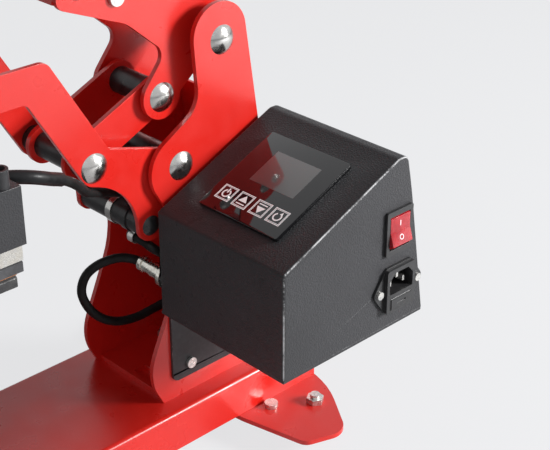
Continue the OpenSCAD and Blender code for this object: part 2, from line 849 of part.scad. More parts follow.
module platen_screws() {
    color("#8f9296") both() for (y = [-1, 1]) {
        rod_z(corner_x, platen_y + y * corner_y, curve_z + 103, cover_z1 + 1, corner_bolt_r);
        rod_z(corner_x, platen_y + y * corner_y, cover_z1, cover_z1 + 3, 3.5);
        rod_z(hanger_x, platen_y + y * hanger_y, cover_z1 - cover_t - 3, hanger_top + 1, hanger_bolt_r);
        rod_z(hanger_x, platen_y + y * hanger_y, hanger_top, hanger_top + 2.5, 4.5);
        difference() {
            hex_z(hanger_x, platen_y + y * hanger_y, cover_z1 - cover_t - 3, cover_z1 - cover_t, 4.8);
            rod_z(hanger_x, platen_y + y * hanger_y, cover_z1 - 10, cover_z1, hanger_bolt_r);
        }
    }
}

module thermal_cutout() {
    color("#d8d2c4") difference() {
        rod_z(0, platen_y, curve_z + plate_r3 - 0.8, curve_z + plate_r3 + 8, 8);
        translate([0, platen_y + 20, curve_z]) rotate([90, 0, 0]) cylinder(h = 40, r = plate_r3, $fn = 128);
    }
}

// The box's side outline, from the front bottom corner round by the top
box_pts = [[0, side_z0], [0, box_front_h], [slope_run, box_top_h], [ridge_y, box_top_h], [box_d, side_z0]];

function box_in(i) = inset(box_pts[i - 1], box_pts[i], box_pts[i + 1], box_t);

module box_shell() {
    inner = [[box_t, -5], [box_in(1).x, box_in(1).y, 1.5], [box_in(2).x, box_in(2).y, 6.5],
        [box_in(3).x, box_in(3).y, 4.5], [box_d - box_t - 0.1, -5]];
    color("#242526") difference() {
        plate_x(box_x0, box_w) translate([0, box_z0])
            polygon(rounded([for (i = [0:4]) at(box_pts[i], 0, 0, [0, 3, 8, 6, 0][i])]));
        plate_x(box_x0 + box_t, box_w - 2 * box_t) translate([0, box_z0])
            polygon(rounded([at(inner[0], 0, 0), inner[1], inner[2], inner[3], at(inner[4], 0, 0)]));
        on_slope() translate([lcd_x - lcd_w / 2 - 0.3, lcd_s - 0.3, -5]) cube([lcd_w + 0.6, lcd_l + 0.6, 8]);
        on_side(switch_y, switch_z) slab(24.4, 30.4, -5, 1);
        on_side(inlet_y, inlet_z) slab(28.2, 33.2, -5, 1);
        on_side(inlet_y, inlet_z) for (y = [-20, 20]) translate([y, 0, -5]) cylinder(h = 6, r = 1.6);
        rod_x([cord_y, cord_z], box_x0 - 1, box_x0 + 5, 5.3 + run_gap);
        for (i = [2, 3]) rod_x(bracket_at[i], box_x0 - 1, box_x0 + 5, 2.5 + run_gap);
    }
}

module box_bottom() {
    color("#1a1a1b") {
        block(box_x0, box_x1, 0, box_d, box_z0, box_z0 + side_z0);
        for (y = [box_t + 0.3, box_d - box_t - 14]) block(box_x0 + 8, box_x1 - 8, y, y + 1.5,
            box_z0 + side_z0 - 1, box_z0 + side_z0 + 9);
    }
}

module box_bracket() {
    low = base_top + 15.7;
    color("#232325") difference() {
        plate_x(frame_out, bracket_t) polygon(rounded([[8.8, low, 6], [8.8, box_z0, 0], [24, box_z0, 0],
            [24, box_z0 + 80, 6], [100, box_z0 + 80, 6], [104, low, 6]]));
        for (p = bracket_at) rod_x(p, frame_out - 1, box_x0 + 1, 2.5 + run_gap);
    }
}

module box_screws() {
    color("#8f9296") for (i = [0:3]) {
        seat = i < 2 ? box_x0 : box_x0 + box_t;
        p = bracket_at[i];
        rod_x(p, frame_half - 4, seat + 1, 2.5);
        rod_x(p, seat, seat + 2.5, 4.5);
        difference() {
            translate([frame_half - 3.2, p.x, p.y]) rotate([0, 90, 0]) cylinder(h = 3.2, r = 4.6, $fn = 6);
            rod_x(p, frame_half - 5, frame_half + 1, 2.5);
        }
    }
}

module control_glass() {
    color("#101113") on_slope()
        translate([glass_x - glass_w / 2, glass_s, seat_gap]) cube([glass_w, glass_l, glass_t - seat_gap]);
}

// Printed circuit board under the slope, with the display reaching up to the glass
module control_board() {
    color("#2f6b45") on_slope() {
        translate([glass_x - glass_w / 2 + 2, glass_s + 2, board_z]) cube([glass_w - 4, glass_l - 4, 1.6]);
        translate([lcd_x - lcd_w / 2, lcd_s, board_z + 1]) cube([lcd_w, lcd_l, -board_z - 1]);
        translate([glass_x - 30, glass_s + 8, board_z - 15]) cube([19, 15.5, 15.5]);
        translate([glass_x - 2, glass_s + 8, board_z - 9]) cube([26, 8, 9.5]);
        for (x = [-1, 1]) for (y = [6, glass_l - 6]) translate([glass_x + x * (glass_w / 2 - 6), glass_s + y,
            board_z + 1]) cylinder(h = -board_z - 1 - box_t, r = 3);
    }
}

module power_inlet() {
    color("#161617") on_side(inlet_y, inlet_z) difference() {
        union() {
            linear_extrude(2) polygon(rounded([[-26, 0, 5], [-13, 18.5, 3], [13, 18.5, 3], [26, 0, 5],
                [13, -18.5, 3], [-13, -18.5, 3]]));
            soft_slab(29.5, 35, 2, 1, 5);
            slab(28, 33, -22, 1);
        }
        translate([0, 0, -11]) linear_extrude(17) polygon([[-12.2, -2.3], [12.2, -2.3], [12.2, 8.6],
            [7, 14.3], [-7, 14.3], [-12.2, 8.6]]);
        translate([0, -10.5, 0]) slab(22.4, 9.4, -15, 6);
        for (y = [-20, 20]) translate([y, 0, -1]) cylinder(h = 4, r = 1.6);
    }
    color("#c9ccd0") on_side(inlet_y, inlet_z) {
        for (p = [[-7, 3.4], [7, 3.4], [0, 8.8]]) translate([p.x, p.y, 0]) slab(2, 4, -12, 0.5);
        for (y = [-20, 20]) {
            translate([y, 0, -6]) cylinder(h = 8.5, r = 1.55);
            translate([y, 0, 2]) cylinder(h = 1.8, r = 3);
        }
    }
}

module rocker_switch() {
    color("#161617") on_side(switch_y, switch_z) difference() {
        union() {
            soft_slab(27, 34.5, 1.5, 0, 2.5);
            slab(24, 30, -22, 1);
        }
        slab(20.6, 26.2, -11, 3);
        translate([-13, 0, -rocker_back]) rotate([0, 90, 0]) cylinder(h = 26, r = 1.56);
    }
}

// The upper end is pressed in
module rocker() {
    color("#d01f26") translate([box_x1 - rocker_back, switch_y, switch_z]) rotate([0, -rocker_tilt, 0]) {
        translate([0, 10, 0]) rotate([90, 0, 0]) linear_extrude(20)
            translate([rocker_back, 0]) polygon([[1.6, 0], [4.4, 10.6], [1.5, 12], [-9, 9.5], [-9, -9.5],
                [1.5, -12], [4.4, -10.6]]);
        translate([0, 11.4, 0]) rotate([90, 0, 0]) cylinder(h = 22.8, r = 1.5);
    }
}

module fuse_drawer() {
    color("#1b1b1c") on_side(inlet_y, inlet_z - 10.5) difference() {
        union() {
            slab(22, 9, -14.5, 5);
            slab(21, 8, 4, 5.8);
        }
        slab(9, 1.6, 5, 7);
    }
}

module cable_connector() {
    p = [cord_y, cord_z];
    color("#c8c3b4") difference() {
        union() {
            rod_x(p, 19, box_x0 + box_t + 3, 5.3);
            rod_x(p, 17, 21, 6.2);
            rod_x(p, 31, box_x0 - 3, 6);
            rod_x(p, box_x0 - 3.5, box_x0, 9);
        }
        rod_x(p, 16, 20, cable_r);
    }
}

// Route of the cable: from the platen over the cross tube to its clip, and by a loop to the connector
platen_end = [gland_x, platen_y + cover_d / 2 - 7.3, gland_z];
clip_end = [clip_x, clip_at.x, clip_at.y];
box_end = [20, cord_y, cord_z];
upper_route = [platen_end, platen_end + [0, 5.3, 0], platen_end + [0, 8.3, 0], [48, -124, 287.4],
    [53, -117.5, 287.6], [57, -109.5, 286.3], [57.8, -101.5, 283.4], [56, -92.5, 279],
    [52.4, -82.5, 274], [48.4, -72.5, 267.5], [42.5, -62, 258.7], [35.5, -52, 248.6], [29, -41, 242.3],
    [23, -29, 236], [17.5, -16, 230], [13, -4, 224.5], [8, 8, 220], [4, 17.5, 211.5], [2.5, 21.5, 200],
    [4, 17.5, 190.5], [8.5, 8, 187.2], [13, clip_at.x, clip_at.y], clip_end];
lower_route = [clip_end, [21, clip_at.x, clip_at.y], [29, 1, 187.5], [35, 3, 184.5], [36.5, 8.5, 179.5],
    [34.5, 16, 173], [30.5, 26, 163.5], [27, 36, 154], [24, 46, 144], [23, 54, 131], [15, 56, 119],
    [6, 49, 111], [1, 38, 108.5], [0, 26, 107], [0, 12, 106.5], [-1, -4, 109], [-2, -18, 116.5],
    [-3.5, -29, 129], [-4.5, -34.5, 145], [-4, -30, 158], [-1, -19, 165], [4, -6, 167],
    [8.5, 2.5, 165.2], box_end - [7, 0, 0], box_end];

function bend(a, b, c, d, t) =
    0.5 * (2 * b + (c - a) * t + (2 * a - 5 * b + 4 * c - d) * t * t + (3 * b - a - 3 * c + d) * t * t * t);

// Points along a route, n to a step; the first and the last step are straight
function path(route, n) =
    let(last = len(route) - 1)
    [for (i = [0:last - 1]) for (k = [0:n - 1])
        let(p = route[max(0, i - 1)], q = route[min(last, i + 2)])
        i == 0 || i == last - 1
            ? route[i] + (route[i + 1] - route[i]) * k / n
            : bend(p, route[i], route[i + 1], q, k / n),
    route[last]];
function heading(p, i) = unit(p[min(len(p) - 1, i + 1)] - p[max(0, i - 1)]);

// Sweeps a round section along points p; the first rings, up to number thick, have the shrink tube on
module tube(p, thick, across) {
    sides = 12;
    last = len(p) - 1;
    turned = [for (i = 0, u = across; i <= last;
        i = i + 1, u = i <= last ? unit(u - (u * heading(p, i)) * heading(p, i)) : u) u];
    points = [for (i = [0:last]) for (k = [0:sides - 1])
        let(r = i <= thick ? shrink_r : cable_r, v = cross(heading(p, i), turned[i]))
        p[i] + r * (cos(360 * k / sides) * turned[i] + sin(360 * k / sides) * v)];
    skin = [for (i = [0:last - 1]) for (k = [0:sides - 1])
        let(a = i * sides + k, b = i * sides + (k + 1) % sides)
        each [[a, b + sides, b], [a, a + sides, b + sides]]];
    ends = [[for (k = [0:sides - 1]) k], [for (k = [sides - 1:-1:0]) last * sides + k]];
    polyhedron(points = points, faces = concat(skin, ends));
}

module platen_cable() {
    color("#19191a") tube(path(upper_route, 1), 8, [1, 0, 0]);
}

module heater_cable() {
    color("#19191a") tube(path(lower_route, 2), -1, [0, 1, 0]);
}

// The middle of the outline stands over the origin
translate([-middle_x, -middle_y, 0]) {
    base_channel();
    foot_plates();
    rubber_feet();
    foot_studs();
    right_upright();
    left_upright();
    rear_web();
    frame_floor();
    base_bolts();
    lever_pivot_bolt();
    arm_pivot_bolt();
    pivot_spacers();
    cradle_post();
    cradle_plate();
    cradle_pad();
    right_arm();
    left_arm();
    arm_sleeves();
    cross_sleeves();
    cross_collar();
    arm_pins();
    screw_block();
    block_bolts();
    cable_clip();
    right_lever();
    left_lever();
    lever_spacers();
    toggle_pin();
    handle_socket();
    handle_bolts();
    handle_tube();
    handle_grip();
    right_link();
    left_link();
    link_sleeves();
    link_pin();
    pressure_screw();
    pressure_knob();
    platen_hanger();
    platen_cover();
    insulation();
    clamp_plate();
    heating_element();
    heat_platen();
    collars();
    platen_screws();
    thermal_cutout();
    box_shell();
    box_bottom();
    box_bracket();
    box_screws();
    control_glass();
    control_board();
    power_inlet();
    rocker_switch();
    rocker();
    fuse_drawer();
    cable_connector();
    heater_cable();
    platen_cable();
}
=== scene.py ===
import json
import math

import bmesh
import bpy
from mathutils import Matrix, Vector

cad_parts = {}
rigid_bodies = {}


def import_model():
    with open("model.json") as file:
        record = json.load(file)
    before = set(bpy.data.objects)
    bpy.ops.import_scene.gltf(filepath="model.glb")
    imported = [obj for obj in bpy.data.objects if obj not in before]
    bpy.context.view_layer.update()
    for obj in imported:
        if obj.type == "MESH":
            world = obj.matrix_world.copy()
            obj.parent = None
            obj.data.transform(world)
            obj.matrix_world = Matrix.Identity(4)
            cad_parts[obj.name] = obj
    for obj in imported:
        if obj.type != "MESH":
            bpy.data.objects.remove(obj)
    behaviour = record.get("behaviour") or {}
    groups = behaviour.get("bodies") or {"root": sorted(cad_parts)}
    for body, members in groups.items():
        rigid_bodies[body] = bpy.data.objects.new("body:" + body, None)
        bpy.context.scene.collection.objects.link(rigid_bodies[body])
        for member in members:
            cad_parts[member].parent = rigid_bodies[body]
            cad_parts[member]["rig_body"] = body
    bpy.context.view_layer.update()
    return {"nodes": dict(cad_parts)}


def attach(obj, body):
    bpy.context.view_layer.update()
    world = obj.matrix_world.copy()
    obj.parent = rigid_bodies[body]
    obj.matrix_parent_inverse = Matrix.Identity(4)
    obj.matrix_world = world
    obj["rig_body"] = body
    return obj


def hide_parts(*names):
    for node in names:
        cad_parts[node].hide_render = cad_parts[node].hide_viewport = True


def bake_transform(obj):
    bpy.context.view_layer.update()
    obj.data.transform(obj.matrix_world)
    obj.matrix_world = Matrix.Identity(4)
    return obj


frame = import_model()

scene = bpy.context.scene
scene.view_settings.view_transform = "Standard"

# Camera. It stands in front of the press on its right-hand side, above the control box, and
# looks down over the box at the linkage.
def at(x, y, z):
    """A place in metres, from millimetres: from the middle plane, the box's front face and the table."""
    return Vector((x - 25.5, y + 52.5, z)) / 1000


camera_data = bpy.data.cameras.new("camera")
camera_data.sensor_width = 36
camera_data.lens = 86.3
camera_data.clip_start = 0.01
camera = bpy.data.objects.new("camera", camera_data)
camera.location = at(703.4, -517.1, 643.6)
camera.rotation_euler = (math.radians(90 - 27.603), 0, math.radians(46.065))
scene.collection.objects.link(camera)
scene.camera = camera

# Heater cable. A round rubber lead of 7 mm runs from the platen, where shrink tube stiffens its
# end, over the cross tube to a clip, and from the clip by an open loop to the connector in the
# side of the control box. The clip parts it in two lengths, each drawn as a tube of its own.
platen_route = [
    (45.5, -137, 287), (45.5, -131.7, 287), (45.5, -128.7, 287), (48, -124, 287.4),
    (53, -117.5, 287.6), (57, -109.5, 286.3), (57.8, -101.5, 283.4), (56, -92.5, 279),
    (52.4, -82.5, 274), (48.4, -72.5, 267.5), (42.5, -62, 258.7), (35.5, -52, 248.6),
    (29, -41, 242.3), (23, -29, 236), (17.5, -16, 230), (13, -4, 224.5), (8, 8, 220),
    (4, 17.5, 211.5), (2.5, 21.5, 200), (4, 17.5, 190.5), (8.5, 8, 187.2), (13, 1, 188), (17, 1, 188),
]
box_route = [
    (20, 7, 163), (13, 7, 163), (8.5, 2.5, 165.2), (4, -6, 167), (-1, -19, 165), (-4, -30, 158),
    (-4.5, -34.5, 145), (-3.5, -29, 129), (-2, -18, 116.5), (-1, -4, 109), (0, 12, 106.5),
    (0, 26, 107), (1, 38, 108.5), (6, 49, 111), (15, 56, 119), (23, 54, 131), (24, 46, 144),
    (27, 36, 154), (30.5, 26, 163.5), (34.5, 16, 173), (36.5, 8.5, 179.5), (35, 3, 184.5),
    (29, 1, 187.5), (21, 1, 188), (17, 1, 188),
]


def eased(route, steps=6):
    """Points in metres along a smooth line through a route in millimetres, straight at its two ends."""
    knots = [at(*p) for p in route]
    last = len(knots) - 1
    line = []
    for i in range(last):
        a, b, c, d = knots[max(0, i - 1)], knots[i], knots[i + 1], knots[min(last, i + 2)]
        for k in range(steps):
            t = k / steps
            if i in (0, last - 1):
                line.append(b.lerp(c, t))
            else:
                line.append((2 * b + (c - a) * t + (2 * a - 5 * b + 4 * c - d) * t * t
                             + (3 * b - a - 3 * c + d) * t ** 3) / 2)
    return line + [knots[last]]


def pick(*pieces):
    """Selects these pieces and nothing else; the last one is the active one."""
    if bpy.context.mode != "OBJECT":
        bpy.ops.object.mode_set(mode="OBJECT")
    bpy.ops.object.select_all(action="DESELECT")
    for piece in pieces:
        piece.select_set(True)
    bpy.context.view_layer.objects.active = pieces[-1]
    return pieces[-1]


def hose(name, line, radius):
    """A round tube along a line of points, closed at both ends."""
    curve = bpy.data.curves.new(name, "CURVE")
    curve.dimensions = "3D"
    curve.bevel_depth = radius
    curve.bevel_resolution = 5
    curve.use_fill_caps = True
    spline = curve.splines.new("POLY")
    spline.points.add(len(line) - 1)
    for point, place in zip(spline.points, line):
        point.co = (*place, 1)
    piece = bpy.data.objects.new(name, curve)
    scene.collection.objects.link(piece)
    pick(piece)
    bpy.ops.object.convert(target="MESH")
    bpy.ops.object.shade_smooth_by_angle(angle=math.radians(40))
    return piece


class Finish:
    """A material under work. Each call adds nodes for one trait of the real surface."""

    def __init__(self, name, colour, roughness, **sockets):
        self.material = bpy.data.materials.new(name)
        self.material.use_nodes = True
        self.tree = self.material.node_tree
        self.shader = self.tree.nodes["Principled BSDF"]
        self.shader.inputs["Base Color"].default_value = (*colour, 1)
        self.shader.inputs["Roughness"].default_value = roughness
        for socket, value in sockets.items():
            self.shader.inputs[socket.replace("_", " ")].default_value = value
        self.colour, self.roughness, self.normal = (*colour, 1), roughness, None
        self.place = self.add("ShaderNodeTexCoord").outputs["Object"]

    def add(self, kind, inputs=None, **settings):
        node = self.tree.nodes.new(kind)
        for key, value in settings.items():
            setattr(node, key, value)
        for key, value in (inputs or {}).items():
            if isinstance(value, bpy.types.NodeSocket):
                self.tree.links.new(value, node.inputs[key])
            else:
                node.inputs[key].default_value = value
        return node

    def stretched(self, scale):
        return self.add("ShaderNodeMapping", {"Vector": self.place, "Scale": scale}).outputs["Vector"]

    def noise(self, per_metre, detail=3, rough=0.5, place=None):
        return self.add("ShaderNodeTexNoise", {
            "Vector": place or self.place, "Scale": per_metre, "Detail": detail, "Roughness": rough,
        }).outputs["Fac"]

    def cells(self, per_metre):
        return self.add("ShaderNodeTexVoronoi", {
            "Vector": self.place, "Scale": per_metre, "Smoothness": 0.6,
        }, feature="SMOOTH_F1").outputs["Distance"]

    def between(self, value, low, high, first=0.0, last=1.0):
        """Eases a value that lies between low and high to one between first and last."""
        return self.add("ShaderNodeMapRange", {
            "Value": value, "From Min": low, "From Max": high, "To Min": first, "To Max": last,
        }, interpolation_type="SMOOTHSTEP").outputs["Result"]

    def maths(self, how, a, b):
        return self.add("ShaderNodeMath", {0: a, 1: b}, operation=how, use_clamp=True).outputs[0]

    def tint(self, where, colour):
        """Lays another colour over the surface where the mask is 1."""
        mix = self.add("ShaderNodeMix", {"Factor": where}, data_type="RGBA")
        for socket, value in ((mix.inputs[6], self.colour), (mix.inputs[7], colour)):
            if isinstance(value, bpy.types.NodeSocket):
                self.tree.links.new(value, socket)
            else:
                socket.default_value = (*value[:3], 1)
        self.colour = mix.outputs[2]
        self.tree.links.new(self.colour, self.shader.inputs["Base Color"])

    def gloss(self, value):
        self.tree.links.new(value, self.shader.inputs["Roughness"])

    def relief(self, height, strength, depth):
        inputs = {"Height": height, "Strength": strength, "Distance": depth}
        if self.normal:
            inputs["Normal"] = self.normal
        self.normal = self.add("ShaderNodeBump", inputs).outputs["Normal"]
        self.tree.links.new(self.normal, self.shader.inputs["Normal"])

    def edge_tint(self, colour, reach):
        """Tints the rounded edges, broken up in patches and specks: rubbed paint, and on the hammered black
        coat also a painted highlight along the edge.
        """
        edge = self.add("ShaderNodeAttribute", attribute_name="edge").outputs["Fac"]
        patches = self.between(self.noise(70, 2, 0.6), 0.62 - reach * 0.5, 0.72)
        specks = self.between(self.noise(420, 3, 0.7), 0.6 - reach * 0.3, 0.7, 0, 0.8)
        self.tint(self.maths("MULTIPLY", edge, self.maths("ADD", patches, specks)), colour)


def finished(piece, *finishes):
    piece.data.materials.clear()
    for finish in finishes:
        piece.data.materials.append(finish.material)
    return piece


rubber_lead = Finish("rubber lead", (0.01, 0.01, 0.01), 0.52, Specular_IOR_Level=0.14)
rubber_lead.tint(rubber_lead.between(rubber_lead.noise(60, 4), 0.4, 0.75), (0.018, 0.018, 0.018))
rubber_lead.gloss(rubber_lead.between(rubber_lead.noise(150, 3), 0.3, 0.7, 0.42, 0.62))
rubber_lead.relief(rubber_lead.noise(1400, 3), 0.25, 0.0002)
rubber_lead.relief(rubber_lead.noise(90, 2), 0.12, 0.0006)

shrink_tube = Finish("shrink tube", (0.011, 0.011, 0.012), 0.42, Specular_IOR_Level=0.2)
shrink_tube.gloss(shrink_tube.between(shrink_tube.noise(220, 3), 0.3, 0.7, 0.3, 0.5))
shrink_tube.relief(shrink_tube.noise(260, 2), 0.3, 0.0004)

platen_line = eased(platen_route)
box_line = eased(box_route)
lead_r = 0.0035
shrink_r = 0.0047

platen_lead = hose("platen_lead", platen_line, lead_r)
finished(platen_lead, rubber_lead)
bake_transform(platen_lead)
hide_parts("platen_cable")

lead_shrink = hose("lead_shrink", platen_line[:49], shrink_r)
finished(lead_shrink, shrink_tube)
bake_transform(lead_shrink)

box_lead = hose("box_lead", box_line, lead_r)
finished(box_lead, rubber_lead)
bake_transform(box_lead)
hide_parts("heater_cable")

# Studio. A pale floor, one large lamp behind the press on its right, a weak one from the front
# and a bright room. The camera and mirror-like metal see the room as near white, and the camera
# sees the floor so too.
world = bpy.data.worlds.new("room")
scene.world = world
world.use_nodes = True
room = world.node_tree
fill = room.nodes["Background"]
fill.inputs["Color"].default_value = (0.93, 0.96, 1.0, 1)
fill.inputs["Strength"].default_value = 0.17
white = room.nodes.new("ShaderNodeBackground")
white.inputs["Color"].default_value = (0.86, 0.865, 0.88, 1)
rays = room.nodes.new("ShaderNodeLightPath")
seen = room.nodes.new("ShaderNodeMath")
seen.operation = "ADD"
seen.use_clamp = True
seen_too = room.nodes.new("ShaderNodeMath")
seen_too.operation = "ADD"
seen_too.use_clamp = True
either = room.nodes.new("ShaderNodeMixShader")
room.links.new(rays.outputs["Is Camera Ray"], seen.inputs[0])
room.links.new(rays.outputs["Is Glossy Ray"], seen.inputs[1])
room.links.new(seen.outputs[0], seen_too.inputs[0])
room.links.new(rays.outputs["Is Transmission Ray"], seen_too.inputs[1])
room.links.new(seen_too.outputs[0], either.inputs["Fac"])
room.links.new(fill.outputs[0], either.inputs[1])
room.links.new(white.outputs[0], either.inputs[2])
room.links.new(either.outputs[0], room.nodes["World Output"].inputs["Surface"])

bpy.ops.object.select_all(action="DESELECT")
bpy.ops.mesh.primitive_plane_add(size=14, location=(0, 0, 0))
floor = bpy.context.object
floor.name = "floor"
floor_paper = Finish("floor paper", (0.8, 0.803, 0.815), 0.9)
floor_paper.relief(floor_paper.noise(30, 3), 0.05, 0.001)
paper = floor_paper.tree
glow = paper.nodes.new("ShaderNodeEmission")
glow.inputs["Color"].default_value = (0.86, 0.865, 0.88, 1)
glow.inputs["Strength"].default_value = 1.0
paper_rays = paper.nodes.new("ShaderNodeLightPath")
camera_share = paper.nodes.new("ShaderNodeMath")
camera_share.operation = "MULTIPLY"
camera_share.inputs[1].default_value = 0.86
lit = paper.nodes.new("ShaderNodeMixShader")
paper.links.new(paper_rays.outputs["Is Camera Ray"], camera_share.inputs[0])
paper.links.new(camera_share.outputs[0], lit.inputs["Fac"])
paper.links.new(floor_paper.shader.outputs[0], lit.inputs[1])
paper.links.new(glow.outputs[0], lit.inputs[2])
paper.links.new(lit.outputs[0], paper.nodes["Material Output"].inputs["Surface"])
finished(floor, floor_paper)


def lamp(name, place, aim, watts, size):
    """A round soft lamp at a place, turned to the point that it is aimed at."""
    data = bpy.data.lights.new(name, "AREA")
    data.energy = watts
    data.shape = "DISK"
    data.size = size
    thing = bpy.data.objects.new(name, data)
    thing.location = place
    thing.rotation_euler = (Vector(aim) - Vector(place)).to_track_quat("-Z", "Y").to_euler()
    scene.collection.objects.link(thing)


lamp("key_lamp", (1.55, 1.4, 0.92), (0, 0, 0.2), 70, 0.6)
lamp("front_lamp", (1.3, -1.5, 1.6), (0, -0.05, 0.2), 6, 1.2)

# Frame. Base channel, foot plates, uprights, web and floor plate are laser-cut and bent 3 to
# 4 mm steel sheet with a glossy red powder coat, a little orange-peeled and rubbed at its edges.
def rounded(piece, offset, steps, thin):
    """Rounds the selected edges and marks their middle with the attribute edge, which the edge tint follows.
    With thin, only the central line of the rounding is marked."""
    bpy.ops.mesh.bevel(offset=offset, segments=steps, affect="EDGES", clamp_overlap=not thin, material=1)
    shape = bmesh.from_edit_mesh(piece.data)
    edge_layer = shape.verts.layers.float.get("edge") or shape.verts.layers.float.new("edge")
    round_face = shape.faces.layers.int.get("round") or shape.faces.layers.int.new("round")
    inside = {vert for vert in shape.verts if all(face.material_index for face in vert.link_faces)}
    for vert in inside:
        central = all(side.other_vert(vert) in inside for side in vert.link_edges)
        vert[edge_layer] = 1.0 if central or not thin else 0.0
    for face in shape.faces:
        face[round_face] = max(face[round_face], face.material_index)
        face.material_index = 0
    for vert in shape.verts:
        if not all(face[round_face] for face in vert.link_faces):
            vert[edge_layer] = 0.0
    bmesh.update_edit_mesh(piece.data)


def made(node, edge, finish, second=None, where=None, steps=2, fold=None):
    """A node's mesh as the shop makes it: joined up, its sharp edges rounded off, and painted.
    Faces whose middle passes the test where get the second finish. Edges whose middle passes the
    test fold are sheet bends with a wider radius of 2 mm."""
    piece = bpy.data.objects.new(node + "_made", frame["nodes"][node].data.copy())
    scene.collection.objects.link(piece)
    finished(piece, finish, second or finish)
    pick(piece)
    bpy.ops.object.mode_set(mode="EDIT")
    bpy.ops.mesh.select_mode(type="EDGE")
    bpy.ops.mesh.select_all(action="SELECT")
    bpy.ops.mesh.remove_doubles(threshold=0.000004)
    bpy.ops.mesh.dissolve_limited(angle_limit=math.radians(0.5), delimit=set())
    bpy.ops.mesh.select_all(action="DESELECT")
    bpy.ops.mesh.edges_select_sharp(sharpness=math.radians(27))
    if fold:
        shape = bmesh.from_edit_mesh(piece.data)
        for side in shape.edges:
            side.select_set(side.select and fold((side.verts[0].co + side.verts[1].co) / 2))
        bmesh.update_edit_mesh(piece.data)
        rounded(piece, 0.002, 4, True)
        bpy.ops.mesh.select_all(action="DESELECT")
        bpy.ops.mesh.edges_select_sharp(sharpness=math.radians(27))
    rounded(piece, edge, steps, False)
    bpy.ops.object.mode_set(mode="OBJECT")
    bpy.ops.object.shade_smooth_by_angle(angle=math.radians(32))
    bpy.ops.object.modifier_add(type="WEIGHTED_NORMAL")
    piece.modifiers[-1].keep_sharp = True
    bpy.ops.object.modifier_apply(modifier=piece.modifiers[-1].name)
    if where:
        for face in piece.data.polygons:
            face.material_index = int(where(face.center))
    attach(piece, frame["nodes"][node]["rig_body"])
    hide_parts(node)
    return piece


red_coat = Finish("red powder coat", (0.66, 0.016, 0.01), 0.34, Coat_Weight=0.2, Coat_Roughness=0.2)
red_coat.tint(red_coat.between(red_coat.noise(14, 3), 0.35, 0.75, 0, 0.5), (0.6, 0.013, 0.009))
red_coat.tint(red_coat.between(red_coat.noise(1500, 2), 0.56, 0.75, 0, 0.3), (0.8, 0.07, 0.045))
red_coat.edge_tint((0.8, 0.22, 0.16), 0.15)
red_coat.gloss(red_coat.between(red_coat.noise(40, 3), 0.3, 0.7, 0.26, 0.4))
red_coat.relief(red_coat.noise(900, 2), 0.22, 0.00016)
red_coat.relief(red_coat.noise(330, 1), 0.1, 0.0003)
for node in ("base_channel", "foot_plates", "frame_floor", "rear_web"):
    made(node, 0.0005, red_coat)
for node in ("right_upright", "left_upright"):
    made(node, 0.0006, red_coat)

# Feet and fasteners of the base: moulded rubber buffers under the foot plates, and zinc-plated
# studs, bolts and nuts.
foot_rubber = Finish("foot rubber", (0.02, 0.02, 0.02), 0.72)
foot_rubber.tint(foot_rubber.between(foot_rubber.noise(120, 4), 0.45, 0.7), (0.045, 0.044, 0.042))
foot_rubber.relief(foot_rubber.noise(900, 3), 0.3, 0.0002)
made("rubber_feet", 0.0008, foot_rubber)

zinc_plate = Finish("zinc plate", (0.66, 0.65, 0.62), 0.32, Metallic=0.85)
zinc_plate.tint(zinc_plate.between(zinc_plate.noise(260, 3), 0.4, 0.7), (0.5, 0.5, 0.49))
zinc_plate.gloss(zinc_plate.between(zinc_plate.noise(500, 3), 0.3, 0.7, 0.24, 0.45))
zinc_plate.relief(zinc_plate.noise(1300, 2), 0.12, 0.0001)
made("foot_studs", 0.0003, zinc_plate)
made("base_bolts", 0.0004, zinc_plate)

# Lower form. A square post carries a rolled steel saddle with a thick silicone pad, on which the
# cap's front lies.
black_coat = Finish("black powder coat", (0.03, 0.03, 0.032), 0.42, Specular_IOR_Level=0.3)
black_coat.tint(black_coat.between(black_coat.noise(300, 3), 0.4, 0.7, 0, 0.6), (0.045, 0.045, 0.048))
black_coat.edge_tint((0.3, 0.3, 0.31), 0.2)
black_coat.gloss(black_coat.between(black_coat.noise(90, 3), 0.3, 0.7, 0.36, 0.52))
black_coat.relief(black_coat.noise(700, 2), 0.25, 0.00025)
made("cradle_post", 0.0006, black_coat)

saddle_steel = Finish("saddle steel", (0.42, 0.42, 0.43), 0.38, Metallic=0.9)
saddle_steel.tint(saddle_steel.between(saddle_steel.noise(60, 4), 0.4, 0.7), (0.34, 0.34, 0.36))
saddle_steel.relief(saddle_steel.noise(400, 2, place=saddle_steel.stretched((0.04, 1, 1))), 0.15, 0.0002)
made("cradle_plate", 0.0005, saddle_steel)

silicone_pad = Finish("silicone pad", (0.72, 0.17, 0.05), 0.55, Subsurface_Weight=0.15,
                      Subsurface_Scale=0.003)
silicone_pad.tint(silicone_pad.between(silicone_pad.noise(50, 4), 0.4, 0.7), (0.64, 0.14, 0.045))
silicone_pad.relief(silicone_pad.cells(900), 0.3, 0.0002)
made("cradle_pad", 0.0012, silicone_pad, steps=3)

# Pivots. Polished pins with domed heads hold the plates, with satin black tubes between them as
# spacers.
chrome = Finish("polished chrome", (0.5, 0.49, 0.47), 0.18, Metallic=1.0)
chrome.tint(chrome.between(chrome.noise(120, 4), 0.5, 0.8), (0.4, 0.4, 0.4))
chrome.gloss(chrome.between(chrome.noise(260, 4), 0.35, 0.7, 0.16, 0.3))
chrome.relief(chrome.noise(300, 2), 0.06, 0.0003)
for node in ("lever_pivot_bolt", "arm_pivot_bolt", "toggle_pin", "link_pin", "cross_collar"):
    made(node, 0.0002, chrome)

